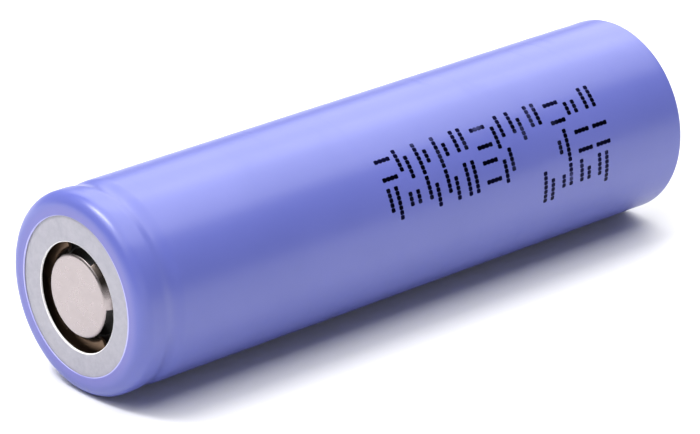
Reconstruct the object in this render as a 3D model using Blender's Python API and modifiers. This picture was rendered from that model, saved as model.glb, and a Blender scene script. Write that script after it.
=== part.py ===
"""A cylindrical lithium-ion cell, 18.3 mm across and 65 mm long, as the pieces it is assembled from.

The cell lies along X with its positive terminal at +X, and the origin is its centre. Every piece is
modelled upright, with the cell's axis as its own Z, and hangs on an empty that lays that axis along X.
Sizes are in millimetres until a mesh is made. An outline is a list of (radius, height) points, height
being the place along the cell's axis.
"""

import math

import bmesh
import bpy
from mathutils import Matrix, Vector

MM = 0.001
TURN = 2 * math.pi
FIT = 0.02  # clearance between pieces that touch
MERGE = 1e-6  # metres

# Overall size
HALF_LENGTH = 32.5
RADIUS = 9.17

# Sleeve, a shrunk film that dips into the can's bead
SLEEVE_WALL = 0.10
SLEEVE_SHOULDER = 1.29
SLEEVE_HEEL = 0.50
POSITIVE_LIP = 7.12
NEGATIVE_LIP = 7.2
DIP_DEPTH = 0.15
DIP_TOP = 30.15
DIP_BOTTOM = 27.75

# Washer under the sleeve's lip, a little off centre
WASHER_HEIGHTS = (32.18, 32.38)
WASHER_HOLE = 4.96
WASHER_RADIUS = 7.7
WASHER_OFFSET = (0.12, 0.03)  # down, and to the +Y side

# Can
CAN_RADIUS = 9.05
CAN_WALL = 0.25
CAN_TOP = 32.16
CAN_BOTTOM = -32.38
CAN_SHOULDER = 1.20
CAN_HEEL = 0.60
CRIMP_EDGE = 6.4
BEAD_TOP = 30.10
BEAD_BOTTOM = 27.80
BEAD_DEPTH = 1.30
TERMINAL_PAD = 6.75
PAD_STEP = 0.05

# Cap, pressed from sheet, with windows cut in the wall of its button
CAP_TOP = 32.30
CAP_SHEET = 0.28
BUTTON_FLAT = 3.46
BUTTON_BEND = 0.36
WALL_LEAN = 33  # degrees off the cell's axis
FLANGE_TOP = 31.45
FLANGE_BEND = 0.30
WINDOW_COUNT = 3
WINDOW_FIRST = 60  # degrees
WINDOW_SPAN = 58  # degrees
WINDOW_RADII = (3.70, 4.98)
WINDOW_SILL = 31.0

# Closure under the cap
CLOSURE_RADIUS = 8.14
GASKET_RADIUS = 8.71
GASKET_BORE = 8.20
GASKET_LIP = 6.3
GASKET_LIP_HEIGHTS = (31.47, 31.87)
GASKET_SEAT = 7.0
GASKET_SEAT_HEIGHTS = (29.84, 30.48)
GASKET_CHAMFER = 30.20
PTC_BORE = 5.2
PTC_HEIGHTS = (30.84, 31.14)
VENT_SHEET = 0.30
VENT_RIM_TOP = 30.81
VENT_SLOPE_TOP = (4.8, 30.81)
VENT_SLOPE_BOTTOM = (3.0, 30.38)
VENT_NECK = (1.7, 30.08)
VENT_PAD = (1.3, 29.68)
VENT_SCORE_RADII = (3.75, 4.05)
VENT_SCORE_DEPTH = 0.12
INSULATOR_HEIGHTS = (29.67, 30.48)
PLATE_RADIUS = 6.9
PLATE_HEIGHTS = (29.36, 29.64)
PLATE_BORE = 1.9
PLATE_HOLES = 6
PLATE_HOLE = 0.65
PLATE_HOLE_CIRCLE = 4.2
WELD_PLATE_RADIUS = 2.8
WELD_PLATE_HEIGHTS = (29.18, 29.34)

# Insulating discs at the ends of the roll
DISC_RADIUS = 8.6
DISC_BORE = 1.3
TOP_DISC_HEIGHTS = (27.12, 27.37)
BOTTOM_DISC_HEIGHTS = (-31.88, -31.68)
GAS_HOLES = 3
GAS_HOLE = 0.8
GAS_HOLE_CIRCLE = 3.2
TAB_SLOT_RADII = (4.5, 6.1)
TAB_SLOT_WIDTH = 4.9

# Roll of sheets, each as (inner, outer) within one pitch. One turn here stands for about three.
ROLL_START = 1.7
ROLL_PITCH = 1.03
ROLL_STEPS = 16
ROLL_MIDDLE = -2.25
LAYERS = {
    "inner_separator": (0.00, 0.15),
    "anode_sheet": (0.19, 0.46),
    "outer_separator": (0.50, 0.65),
    "cathode_sheet": (0.69, 0.99),
}
SHEET_WIDTHS = {
    "inner_separator": 58.5,
    "anode_sheet": 57.5,
    "outer_separator": 58.5,
    "cathode_sheet": 56.5,
}
SHEET_STEPS = {
    "inner_separator": (0, 96),
    "anode_sheet": (2, 94),
    "outer_separator": (0, 96),
    "cathode_sheet": (6, 88),
}
BARE_DEPTH = 0.20  # coating left off under a tab

# Tabs, each at the step of the roll where its middle is, and tapes
TAB_STEPS = {"cathode_sheet": 39, "anode_sheet": 53}
TAB_THICKNESS = 0.10
TAB_HALF_WIDTH = 2.0
TAB_FOLD = 0.42
TAB_ACCORDION = 0.54
TAB_TAPE = 0.05
POSITIVE_LEG = (-20.0, 27.04)
POSITIVE_FOLD_HEIGHT = 27.60
POSITIVE_REACH = (-2.6, 2.4)
POSITIVE_TAPE_HEIGHTS = (14.0, 26.8)
NEGATIVE_LEG = (15.0, -31.54)
NEGATIVE_FOLD_HEIGHT = -31.58
NEGATIVE_REACH = -2.0
NEGATIVE_TAPE_HEIGHTS = (-31.3, -18.0)
CLOSING_TAPE = 0.06
CLOSING_TAPE_STEPS = (90, 100)
CLOSING_TAPE_HEIGHTS = (-27.0, 22.0)

# Centre pin, a slit tube with narrowed ends
PIN_RADIUS = 1.5
PIN_WALL = 0.25
PIN_TAPER = 0.2
PIN_TAPER_LENGTH = 0.7
PIN_HEIGHTS = (-30.9, 26.1)
PIN_SLIT = 14  # degrees
PIN_STEPS = 20

OUTER_SEGMENTS = 40
INNER_SEGMENTS = 24

# Colour, roughness and metallic value
FINISHES = {
    "lilac_film": ((0.36, 0.37, 0.86), 0.32, 0.0),
    "grey_fibre": ((0.56, 0.57, 0.62), 0.75, 0.0),
    "plated_steel": ((0.66, 0.64, 0.63), 0.28, 1.0),
    "cap_steel": ((0.68, 0.65, 0.65), 0.36, 1.0),
    "black_polymer": ((0.03, 0.025, 0.02), 0.55, 0.0),
    "white_polymer": ((0.82, 0.82, 0.80), 0.50, 0.0),
    "aluminium": ((0.80, 0.81, 0.82), 0.35, 1.0),
    "amber_tape": ((0.72, 0.38, 0.08), 0.40, 0.0),
    "pale_fibre": ((0.70, 0.76, 0.72), 0.70, 0.0),
    "porous_film": ((0.90, 0.91, 0.90), 0.65, 0.0),
    "graphite": ((0.05, 0.05, 0.055), 0.70, 0.1),
    "oxide": ((0.025, 0.025, 0.03), 0.60, 0.2),
    "nickel": ((0.60, 0.57, 0.52), 0.32, 1.0),
    "green_tape": ((0.10, 0.42, 0.25), 0.40, 0.0),
}


def clear_scene():
    for obj in list(bpy.data.objects):
        bpy.data.objects.remove(obj)


def new_collection(name):
    collection = bpy.data.collections.new(name)
    bpy.context.scene.collection.children.link(collection)
    return collection


def new_axis():
    """The empty that lays the cell's axis along +X."""
    empty = bpy.data.objects.new("cell_axis", None)
    empty.rotation_euler.y = TURN / 4
    parts.objects.link(empty)
    return empty


def finish_material(name):
    material = bpy.data.materials.get(name)
    if material:
        return material
    colour, roughness, metallic = FINISHES[name]
    material = bpy.data.materials.new(name)
    material.use_nodes = True
    shader = material.node_tree.nodes["Principled BSDF"]
    shader.inputs["Base Color"].default_value = (*colour, 1.0)
    shader.inputs["Roughness"].default_value = roughness
    shader.inputs["Metallic"].default_value = metallic
    return material


def add_piece(name, mesh, finish):
    piece = bpy.data.objects.new(name, mesh)
    piece.parent = axis
    mesh.materials.append(finish_material(finish))
    parts.objects.link(piece)
    return piece


def arc(centre, radius, start, end, steps):
    """Outline points on an arc, its angles in degrees from the radius towards the height."""
    angles = [math.radians(start + (end - start) * i / steps) for i in range(steps + 1)]
    return [(centre[0] + radius * math.cos(a), centre[1] + radius * math.sin(a)) for a in angles]


def dip(radius, depth, top, bottom, steps):
    """Outline points down a wall that curves in and out again between two heights."""
    shares = [i / steps for i in range(steps + 1)]
    return [
        (radius - depth * (1 - math.cos(TURN * s)) / 2, top + (bottom - top) * s) for s in shares
    ]


def turned(name, outline, finish, segments=INNER_SEGMENTS, wall=None):
    """Turn an outline round the axis. It runs outward over the top and down the outer side.

    With a wall, it is the outer face of a sheet of that thickness. Otherwise it is solid, and an outline
    that keeps off the axis is closed into a ring.
    """
    mesh = bpy.data.meshes.new(name)
    edges = [(i, i + 1) for i in range(len(outline) - 1)]
    if outline[0][0] and not wall:
        edges.append((len(outline) - 1, 0))
    mesh.from_pydata([(radius * MM, 0, height * MM) for radius, height in outline], edges, [])
    piece = add_piece(name, mesh, finish)
    piece.rotation_euler.z = TURN / segments / 2
    screw = piece.modifiers.new("Turn", "SCREW")
    screw.steps = segments
    screw.render_steps = segments
    screw.use_merge_vertices = True
    screw.merge_threshold = MERGE
    screw.use_smooth_shade = True
    if wall:
        solidify = piece.modifiers.new("Wall", "SOLIDIFY")
        solidify.thickness = wall * MM
        solidify.offset = -1
        solidify.use_even_offset = True
    return piece


def ring(name, radii, heights, finish, segments=INNER_SEGMENTS):
    inner, outer = radii
    low, high = heights
    return turned(name, [(inner, high), (outer, high), (outer, low), (inner, low)], finish, segments)


def polar(radius, degrees, height):
    angle = math.radians(degrees)
    return (radius * math.cos(angle), radius * math.sin(angle), height)


def add_loft(shape, sections):
    """Join closed sections with the same number of points, and cap both ends."""
    rows = [[shape.verts.new(point) for point in section] for section in sections]
    count = len(rows[0])
    for row, following in zip(rows, rows[1:]):
        for i in range(count):
            j = (i + 1) % count
            shape.faces.new((row[i], row[j], following[j], following[i]))
    shape.faces.new(rows[0])
    shape.faces.new(rows[-1])


def shape_mesh(name, shape):
    """A mesh in metres from a shape in millimetres, its faces pointing out."""
    bmesh.ops.scale(shape, vec=(MM, MM, MM), verts=shape.verts)
    bmesh.ops.recalc_face_normals(shape, faces=shape.faces)
    mesh = bpy.data.meshes.new(name)
    shape.to_mesh(mesh)
    shape.free()
    return mesh


def lofted(name, sections, finish):
    shape = bmesh.new()
    add_loft(shape, sections)
    mesh = shape_mesh(name, shape)
    mesh.shade_smooth()
    mesh.set_sharp_from_angle(angle=math.radians(35))
    return add_piece(name, mesh, finish)


def wrapped(steps, heights):
    """Sections of a sheet wound round the axis, from (degrees, inner radius, outer radius) steps."""
    low, high = heights
    return [
        [polar(inner, d, low), polar(inner, d, high), polar(outer, d, high), polar(outer, d, low)]
        for d, inner, outer in steps
    ]


def add_rod(shape, radius, centre, heights):
    low, high = heights
    made = bmesh.ops.create_cone(
        shape, cap_ends=True, segments=12, radius1=radius, radius2=radius, depth=high - low
    )
    bmesh.ops.translate(shape, vec=(centre[0], centre[1], (low + high) / 2), verts=made["verts"])


def add_slot(shape, degrees, heights):
    """A block across the radius at this angle, where a tab goes through a disc."""
    inner, outer = TAB_SLOT_RADII
    low, high = heights
    made = bmesh.ops.create_cube(shape, size=1)
    bmesh.ops.scale(shape, vec=(outer - inner, TAB_SLOT_WIDTH, high - low), verts=made["verts"])
    middle = ((inner + outer) / 2, 0, (low + high) / 2)
    bmesh.ops.translate(shape, vec=middle, verts=made["verts"])
    turn = Matrix.Rotation(math.radians(degrees), 3, "Z")
    bmesh.ops.rotate(shape, cent=(0, 0, 0), matrix=turn, verts=made["verts"])


def cut(piece, shape):
    """Cut a shape from a piece."""
    cutter = bpy.data.objects.new(piece.name + "_cutter", shape_mesh(piece.name + "_cutter", shape))
    cutter.parent = axis
    cutter.hide_render = True
    cutter.display_type = "WIRE"
    cutters.objects.link(cutter)
    boolean = piece.modifiers.new("Cut", "BOOLEAN")
    boolean.operation = "DIFFERENCE"
    boolean.solver = "EXACT"
    boolean.object = cutter


def past(heights):
    """Heights that run past both faces of a plate."""
    return heights[0] - 1, heights[1] + 1


def make_sleeve():
    shoulder = (RADIUS - SLEEVE_SHOULDER, HALF_LENGTH - SLEEVE_SHOULDER)
    heel = (RADIUS - SLEEVE_HEEL, SLEEVE_HEEL - HALF_LENGTH)
    outline = [(POSITIVE_LIP, HALF_LENGTH)]
    outline += arc(shoulder, SLEEVE_SHOULDER, 90, 0, 5)
    outline += dip(RADIUS, DIP_DEPTH, DIP_TOP, DIP_BOTTOM, 6)
    outline += arc(heel, SLEEVE_HEEL, 0, -90, 4)
    outline += [(NEGATIVE_LIP, -HALF_LENGTH)]
    turned("shrink_sleeve", outline, "lilac_film", OUTER_SEGMENTS, SLEEVE_WALL)


def make_washer():
    radii = (WASHER_HOLE, WASHER_RADIUS)
    washer = ring("insulating_washer", radii, WASHER_HEIGHTS, "grey_fibre", OUTER_SEGMENTS)
    washer.location.xy = (WASHER_OFFSET[0] * MM, WASHER_OFFSET[1] * MM)


def make_can():
    shoulder = (CAN_RADIUS - CAN_SHOULDER, CAN_TOP - CAN_SHOULDER)
    rim = CAN_BOTTOM + PAD_STEP
    heel = (CAN_RADIUS - CAN_HEEL, rim + CAN_HEEL)
    outline = [(CRIMP_EDGE, CAN_TOP)]
    outline += arc(shoulder, CAN_SHOULDER, 90, 0, 4)
    outline += dip(CAN_RADIUS, BEAD_DEPTH, BEAD_TOP, BEAD_BOTTOM, 8)
    outline += arc(heel, CAN_HEEL, 0, -90, 3)
    outline += [(TERMINAL_PAD + PAD_STEP, rim), (TERMINAL_PAD, CAN_BOTTOM), (0, CAN_BOTTOM)]
    turned("steel_can", outline, "plated_steel", OUTER_SEGMENTS, CAN_WALL)


def cap_outline():
    """The cap's outer face: a flat button, a leaning wall tangent to both bends, and a flat flange."""
    lean = math.radians(WALL_LEAN)
    outline = [(0, CAP_TOP)]
    outline += arc((BUTTON_FLAT, CAP_TOP - BUTTON_BEND), BUTTON_BEND, 90, WALL_LEAN, 3)
    wall_radius, wall_height = outline[-1]
    foot_height = FLANGE_TOP + FLANGE_BEND * (1 - math.sin(lean))
    foot_radius = wall_radius + (wall_height - foot_height) * math.tan(lean)
    foot_centre = (foot_radius + FLANGE_BEND * math.cos(lean), FLANGE_TOP + FLANGE_BEND)
    outline += arc(foot_centre, FLANGE_BEND, 180 + WALL_LEAN, 270, 3)
    return outline + [(CLOSURE_RADIUS, FLANGE_TOP)]


def make_cap():
    cap = turned("positive_cap", cap_outline(), "cap_steel", wall=CAP_SHEET)
    inner, outer = WINDOW_RADII
    windows = bmesh.new()
    for i in range(WINDOW_COUNT):
        middle = WINDOW_FIRST + 360 * i / WINDOW_COUNT
        turns = [middle + WINDOW_SPAN * (step / 4 - 0.5) for step in range(5)]
        heights = (WINDOW_SILL, CAP_TOP + FIT * 10)
        add_loft(windows, wrapped([(d, inner, outer) for d in turns], heights))
    cut(cap, windows)


def make_gasket():
    low, high = GASKET_LIP_HEIGHTS
    seat_low, seat_high = GASKET_SEAT_HEIGHTS
    shoulder = (CAN_RADIUS - CAN_SHOULDER, CAN_TOP - CAN_SHOULDER)
    bend = GASKET_RADIUS - shoulder[0]
    outline = [(GASKET_LIP, high)]
    outline += arc((shoulder[0], high - bend), bend, 90, 0, 4)
    outline += [(GASKET_RADIUS, GASKET_CHAMFER), (GASKET_BORE, seat_low)]
    outline += [(GASKET_SEAT, seat_low), (GASKET_SEAT, seat_high), (GASKET_BORE, seat_high)]
    outline += [(GASKET_BORE, low), (GASKET_LIP, low)]
    turned("sealing_gasket", outline, "black_polymer")


def vent_outline():
    """A scored diaphragm, dished towards the roll, as thick at its pad as at its rim."""
    score = (VENT_SCORE_RADII[0] + VENT_SCORE_RADII[1]) / 2
    slope = (VENT_SLOPE_TOP[1] - VENT_SLOPE_BOTTOM[1]) / (VENT_SLOPE_TOP[0] - VENT_SLOPE_BOTTOM[0])

    def on_slope(radius):
        return VENT_SLOPE_BOTTOM[1] + slope * (radius - VENT_SLOPE_BOTTOM[0])

    face = [(0, VENT_PAD[1]), VENT_PAD, VENT_NECK, VENT_SLOPE_BOTTOM]
    face += [(VENT_SCORE_RADII[0], on_slope(VENT_SCORE_RADII[0]))]
    face += [(score, on_slope(score) - VENT_SCORE_DEPTH)]
    face += [(VENT_SCORE_RADII[1], on_slope(VENT_SCORE_RADII[1]))]
    face += [VENT_SLOPE_TOP, (CLOSURE_RADIUS, VENT_RIM_TOP)]
    back = [(CLOSURE_RADIUS, VENT_RIM_TOP)]
    for radius, height in (VENT_SLOPE_TOP, VENT_SLOPE_BOTTOM, VENT_NECK, VENT_PAD):
        back.append((radius + FIT * 2, height))
    back.append((0, VENT_PAD[1]))
    return face + [(radius, height - VENT_SHEET) for radius, height in back]


def make_closure():
    ring("ptc_ring", (PTC_BORE, CLOSURE_RADIUS), PTC_HEIGHTS, "black_polymer")
    turned("vent_disc", vent_outline(), "aluminium")
    ring("vent_insulator", (PTC_BORE, PLATE_RADIUS), INSULATOR_HEIGHTS, "white_polymer")
    plate = ring("vented_plate", (PLATE_BORE, PLATE_RADIUS), PLATE_HEIGHTS, "aluminium")
    holes = bmesh.new()
    for i in range(PLATE_HOLES):
        centre = polar(PLATE_HOLE_CIRCLE, 360 * i / PLATE_HOLES, 0)
        add_rod(holes, PLATE_HOLE, centre, past(PLATE_HEIGHTS))
    cut(plate, holes)
    low, high = WELD_PLATE_HEIGHTS
    outline = [(0, high), (WELD_PLATE_RADIUS, high), (WELD_PLATE_RADIUS, low), (0, low)]
    turned("weld_plate", outline, "aluminium")


def make_disc(name, heights, tab_degrees):
    """An insulating disc with gas holes and a slot for the tab."""
    disc = ring(name, (DISC_BORE, DISC_RADIUS), heights, "pale_fibre")
    openings = bmesh.new()
    for i in range(GAS_HOLES):
        centre = polar(GAS_HOLE_CIRCLE, tab_degrees + 360 * i / GAS_HOLES + 60, 0)
        add_rod(openings, GAS_HOLE, centre, past(heights))
    add_slot(openings, tab_degrees, past(heights))
    cut(disc, openings)


def step_degrees(step):
    return 360 * step / ROLL_STEPS


def layer_radii(layer, step):
    """The layer's inner and outer radius at a step of the roll, thinner where a tab is welded."""
    base = ROLL_START + ROLL_PITCH * step / ROLL_STEPS
    inner, outer = LAYERS[layer]
    bare = abs(step - TAB_STEPS.get(layer, -9)) <= 1
    return base + inner, base + outer - (BARE_DEPTH if bare else 0)


def make_roll():
    finishes = {"anode_sheet": "graphite", "cathode_sheet": "oxide"}
    for layer in LAYERS:
        half = SHEET_WIDTHS[layer] / 2
        first, last = SHEET_STEPS[layer]
        steps = [(step_degrees(s), *layer_radii(layer, s)) for s in range(first, last + 1)]
        heights = (ROLL_MIDDLE - half, ROLL_MIDDLE + half)
        lofted(layer, wrapped(steps, heights), finishes.get(layer, "porous_film"))


def make_closing_tape():
    first, last = CLOSING_TAPE_STEPS
    end = SHEET_STEPS["outer_separator"][1]
    steps = []
    for step in range(first, last + 1):
        inner = layer_radii("outer_separator", min(step, end))[1] + 2 * FIT
        steps.append((step_degrees(step), inner, inner + CLOSING_TAPE))
    lofted("closing_tape", wrapped(steps, CLOSING_TAPE_HEIGHTS), "green_tape")


def tab_steps(layer, lift, thickness):
    """The curled part of a tab or of its tape, lifted off the bare sheet."""
    middle = TAB_STEPS[layer]
    steps = []
    for step in (middle - 1, middle, middle + 1):
        inner = layer_radii(layer, step)[1] + lift
        steps.append((step_degrees(step), inner, inner + thickness))
    return steps


def bend(centre, radius, start, end, side=1):
    """A tab's route round a fold, as (across, height, lean), the lean being of its outer face."""
    turns = [start + (end - start) * i / 4 for i in range(5)]
    points = arc(centre, radius, start, end, 4)
    return [(*point, turn + (0 if side > 0 else 180)) for point, turn in zip(points, turns)]


def make_tab(name, layer, leg, route, finish):
    """A tab that is curled with the roll along its leg, then flat along its route."""
    steps = tab_steps(layer, FIT, TAB_THICKNESS)
    sections = []
    for height in leg:
        inner_row = [polar(inner, degrees, height) for degrees, inner, _ in steps]
        outer_row = [polar(outer, degrees, height) for degrees, _, outer in reversed(steps)]
        sections.append(inner_row + outer_row)
    turn = Matrix.Rotation(math.radians(step_degrees(TAB_STEPS[layer])), 3, "Z")
    half = TAB_THICKNESS / 2
    for across, height, lean in route:
        out = math.cos(math.radians(lean)) * half
        up = math.sin(math.radians(lean)) * half
        inner_row = [(across - out, side * TAB_HALF_WIDTH, height - up) for side in (-1, 0, 1)]
        outer_row = [(across + out, side * TAB_HALF_WIDTH, height + up) for side in (1, 0, -1)]
        sections.append([turn @ Vector(point) for point in inner_row + outer_row])
    lofted(name, sections, finish)


def tab_radius(layer):
    """The middle of the tab's thickness where it leaves the roll."""
    return layer_radii(layer, TAB_STEPS[layer])[1] + FIT + TAB_THICKNESS / 2


def make_positive_tab():
    """Up through the top disc, across the axis, and folded back under the weld plate."""
    radius = tab_radius("cathode_sheet")
    near, far = POSITIVE_REACH
    flat = POSITIVE_FOLD_HEIGHT + TAB_FOLD
    route = bend((radius - TAB_FOLD, POSITIVE_FOLD_HEIGHT), TAB_FOLD, 0, 90)
    route += bend((near, flat + TAB_ACCORDION), TAB_ACCORDION, 270, 90, -1)
    route += [(far, flat + 2 * TAB_ACCORDION, -90)]
    make_tab("positive_tab", "cathode_sheet", POSITIVE_LEG, route, "aluminium")


def make_negative_tab():
    """Down through the bottom disc and across the middle of the can's floor."""
    radius = tab_radius("anode_sheet")
    route = bend((radius - TAB_FOLD, NEGATIVE_FOLD_HEIGHT), TAB_FOLD, 0, -90)
    route += [(NEGATIVE_REACH, NEGATIVE_FOLD_HEIGHT - TAB_FOLD, -90)]
    make_tab("negative_tab", "anode_sheet", NEGATIVE_LEG, route, "nickel")


def make_tab_tape(name, layer, heights):
    steps = tab_steps(layer, 2 * FIT + TAB_THICKNESS, TAB_TAPE)
    lofted(name, wrapped(steps, heights), "amber_tape")


def make_pin():
    low, high = PIN_HEIGHTS
    rows = [(low, -PIN_TAPER), (low + PIN_TAPER_LENGTH, 0), (high - PIN_TAPER_LENGTH, 0), (high, -PIN_TAPER)]
    sections = []
    for step in range(PIN_STEPS + 1):
        degrees = PIN_SLIT / 2 + (360 - PIN_SLIT) * step / PIN_STEPS
        outer = [polar(PIN_RADIUS + change, degrees, height) for height, change in rows]
        inner = [polar(PIN_RADIUS - PIN_WALL + change, degrees, height) for height, change in rows]
        sections.append(outer + inner[::-1])
    lofted("centre_pin", sections, "plated_steel")


def shade_turned_pieces():
    for piece in parts.objects:
        if piece.modifiers:
            piece.modifiers.new("Shading", "WEIGHTED_NORMAL")


clear_scene()
parts = new_collection("cylindrical_cell")
cutters = new_collection("cutters")
axis = new_axis()

make_sleeve()
make_washer()
make_can()
make_cap()
make_gasket()
make_closure()
make_disc("top_insulator", TOP_DISC_HEIGHTS, step_degrees(TAB_STEPS["cathode_sheet"]))
make_disc("bottom_insulator", BOTTOM_DISC_HEIGHTS, step_degrees(TAB_STEPS["anode_sheet"]))
make_roll()
make_closing_tape()
make_positive_tab()
make_negative_tab()
make_tab_tape("positive_tab_tape", "cathode_sheet", POSITIVE_TAPE_HEIGHTS)
make_tab_tape("negative_tab_tape", "anode_sheet", NEGATIVE_TAPE_HEIGHTS)
make_pin()
shade_turned_pieces()
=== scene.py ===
"""Looks for the cylindrical cell: its film sleeve and terminals, everything inside it, and the studio.

The frame has the cell's axis along X, the positive terminal at +X and Z up. Sizes here are millimetres
until a mesh is made. A profile is a list of (radius, x) points, and an angle round the cell is in degrees
from the top (+Z) towards +Y.
"""

import math

import bmesh
import bpy
from mathutils import Matrix, Vector, noise


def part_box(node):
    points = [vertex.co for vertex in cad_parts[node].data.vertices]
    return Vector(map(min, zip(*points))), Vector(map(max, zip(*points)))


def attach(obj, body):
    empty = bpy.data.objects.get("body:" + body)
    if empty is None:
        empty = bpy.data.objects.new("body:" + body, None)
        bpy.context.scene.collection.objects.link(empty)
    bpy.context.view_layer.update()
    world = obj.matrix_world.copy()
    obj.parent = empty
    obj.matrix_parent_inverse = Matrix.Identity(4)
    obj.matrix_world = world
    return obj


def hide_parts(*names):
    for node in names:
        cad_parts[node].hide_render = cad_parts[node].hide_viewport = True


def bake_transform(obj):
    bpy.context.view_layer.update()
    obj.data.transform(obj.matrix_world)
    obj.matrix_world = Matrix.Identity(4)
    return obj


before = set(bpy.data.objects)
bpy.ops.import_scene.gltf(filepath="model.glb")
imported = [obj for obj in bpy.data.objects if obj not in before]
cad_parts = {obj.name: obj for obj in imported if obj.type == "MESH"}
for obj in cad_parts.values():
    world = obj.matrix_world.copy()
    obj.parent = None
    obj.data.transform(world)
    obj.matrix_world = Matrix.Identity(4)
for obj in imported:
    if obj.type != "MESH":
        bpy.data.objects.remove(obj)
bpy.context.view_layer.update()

MM = 0.001
TURN = 2 * math.pi
CAD_SIDES = 40  # facets round the CAD's sleeve and can
CAD_INNER_SIDES = 24  # facets round its smaller turned pieces
SHARP = 40  # degrees: steeper edges are shaded sharp


def span(node):
    """A CAD node's low and high x and its height above the axis, in millimetres."""
    low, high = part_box(node)
    return low.x / MM, high.x / MM, high.z / MM


def inner_span(node):
    """The same for a smaller turned node, with its radius taken at the corners of its facets."""
    low, high, side = span(node)
    return low, high, side / math.cos(math.pi / CAD_INNER_SIDES)


# The overall size is the CAD sleeve's, its radius taken at the corners of its facets.
BACK, FRONT, apothem = span("shrink_sleeve")
RADIUS = apothem / math.cos(math.pi / CAD_SIDES)

# Sleeve
FILM = 0.10
SHOULDER = 1.29
HEEL = 0.50
FRONT_LIP = 7.12
BACK_LIP = 7.2
WASHER_HOLE = 4.96
DIP_TOP = FRONT - 2.3
DIP_BOTTOM = FRONT - 4.8
DIP_DEPTH = 0.19

# Cap
CAP_SHEET = 0.28
BUTTON_FLAT = 3.46
BUTTON_BEND = 0.36
WALL_LEAN = 33  # degrees
FOOT_BEND = 0.30
WINDOW_OUTER = 4.98
WINDOW_HALF = 28.5  # degrees
WINDOW_MIDDLES = (0, 120, 240)
# painted light: a patch of the button's wall left bright at its +Y side, where the rest of the wall gets a
# painted dark reflection
PAINTED_LIGHT_PATCH = (86, 8, 30)  # degrees: its middle on the button's wall, and where it starts and stops fading

# Can
CAN_WALL = 0.25
CAN_SHOULDER = 1.20
CAN_HEEL = 0.60
BEAD_TOP = 2.06  # below the can's top
BEAD_BOTTOM = 4.36
BEAD_DEPTH = 1.30
PAD_HEIGHT = 0.05

# Roll, with about the turns of a real one
ROLL_START = 1.70
ROLL_PITCH = 0.348
ROLL_TURNS = 19
ROLL_STEPS = 60
POSITIVE_TAB = 22.5  # degrees
NEGATIVE_TAB = 67.5  # degrees
TAB_SLOT_RADII = (4.5, 6.1)
TAB_SLOT_WIDTH = 4.9

# Print: rows of dot cells along the sleeve, each with its angle, the cells it skips and the cells it has
DOT = (0.60, 0.44)  # along the sleeve, round it
DOT_PITCH = (0.46, 0.44)
CELL_DOTS = 5
CELL_LINES = 7
PRINT_FRONT = 4.0
PRINT_ROWS = ((50, 0, 12), (70, 0, 7), (70, 9, 3), (90, 8, 4))
DASHED_SHARE = 0.30  # cells with dashes in place of bars
TOP_SEED = 0.5
BOTTOM_SEED = 5.5
KIND_SEED = 11.5

# Studio: metres and watts, angles in degrees, lens and sensor in millimetres
FLOOR_SPAN = 60  # times half the cell's length
LIGHTS = (
    ("overhead", (0.02, -0.02, 1.00), 0.62, (1.50, 0.74), 9.1),
    ("key", (0.42, -0.23, 0.88), 0.6, (0.10, 0.30), 2.3),
    ("backdrop", (-0.60, -0.50, 0.50), 0.8, (0.90, 0.58), 3.4),
    ("fill", (0.45, 0.85, 0.22), 0.8, (0.90, 0.40), 0.9),
)
ROOM_LIGHT = 0.26
DIM_LIGHT = 0.03
DIM_SIDE = (0.50, 0.55, 0.67)
DIM_FROM = 0.55  # cosines of the angle off the dim side
DIM_FULL = 0.85
CAMERA_AZIMUTH = 138.071
CAMERA_ELEVATION = 22.621
CAMERA_DISTANCE = 0.36912
CAMERA_TARGET = (0.001047, 0, -0.001376)
CAMERA_LENS = 210.9
SENSOR_WIDTH = 36


# ---------------------------------------------------------------- mesh helpers


def fillet(before, corner, after, radius, steps=5):
    """Points of the arc that rounds a corner of a profile."""
    b = Vector(corner)
    to_a = Vector(before) - b
    to_c = Vector(after) - b
    half = to_a.angle(to_c) / 2
    if radius <= 0 or half > math.pi / 2 - 0.02:
        return [corner]
    reach = min(radius / math.tan(half), 0.49 * to_a.length, 0.49 * to_c.length)
    radius = reach * math.tan(half)
    middle = (to_a.normalized() + to_c.normalized()).normalized()
    centre = b + middle * (radius / math.sin(half))
    start = b + to_a.normalized() * reach - centre
    end = b + to_c.normalized() * reach - centre
    points = []
    for i in range(steps + 1):
        part = start.lerp(end, i / steps)
        points.append(tuple(centre + part.normalized() * radius))
    return points


def rounded(corners, ring=True):
    """A profile from (radius, x, fillet) corners. A ring closes on itself, the rest ends on the axis."""
    points = []
    count = len(corners)
    for i, (r, x, bend) in enumerate(corners):
        if not ring and i in (0, count - 1):
            points.append((r, x))
            continue
        before = corners[i - 1][:2]
        after = corners[(i + 1) % count][:2]
        points += fillet(before, (r, x), after, bend)
    return points


def arc(centre, radius, start, end, steps):
    """Profile points on an arc, its angles in degrees from the radius towards +X."""
    angles = [math.radians(start + (end - start) * i / steps) for i in range(steps + 1)]
    return [(centre[0] + radius * math.cos(a), centre[1] + radius * math.sin(a)) for a in angles]


def steps_between(start, end, count):
    """Evenly spaced numbers after start, up to and with end."""
    return [start + (end - start) * (i + 1) / count for i in range(count)]


def place(radius, x, degrees):
    """The point at this radius, x and angle, in metres."""
    a = math.radians(degrees)
    return Vector((x, radius * math.sin(a), radius * math.cos(a))) * MM


def finish_mesh(name, shape):
    """Make an object of a shape, its faces turned outward if it is closed."""
    if all(edge.is_manifold for edge in shape.edges):
        bmesh.ops.recalc_face_normals(shape, faces=shape.faces)
    mesh = bpy.data.meshes.new(name)
    shape.to_mesh(mesh)
    shape.free()
    piece = bpy.data.objects.new(name, mesh)
    bpy.context.scene.collection.objects.link(piece)
    return smooth(piece)


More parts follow.
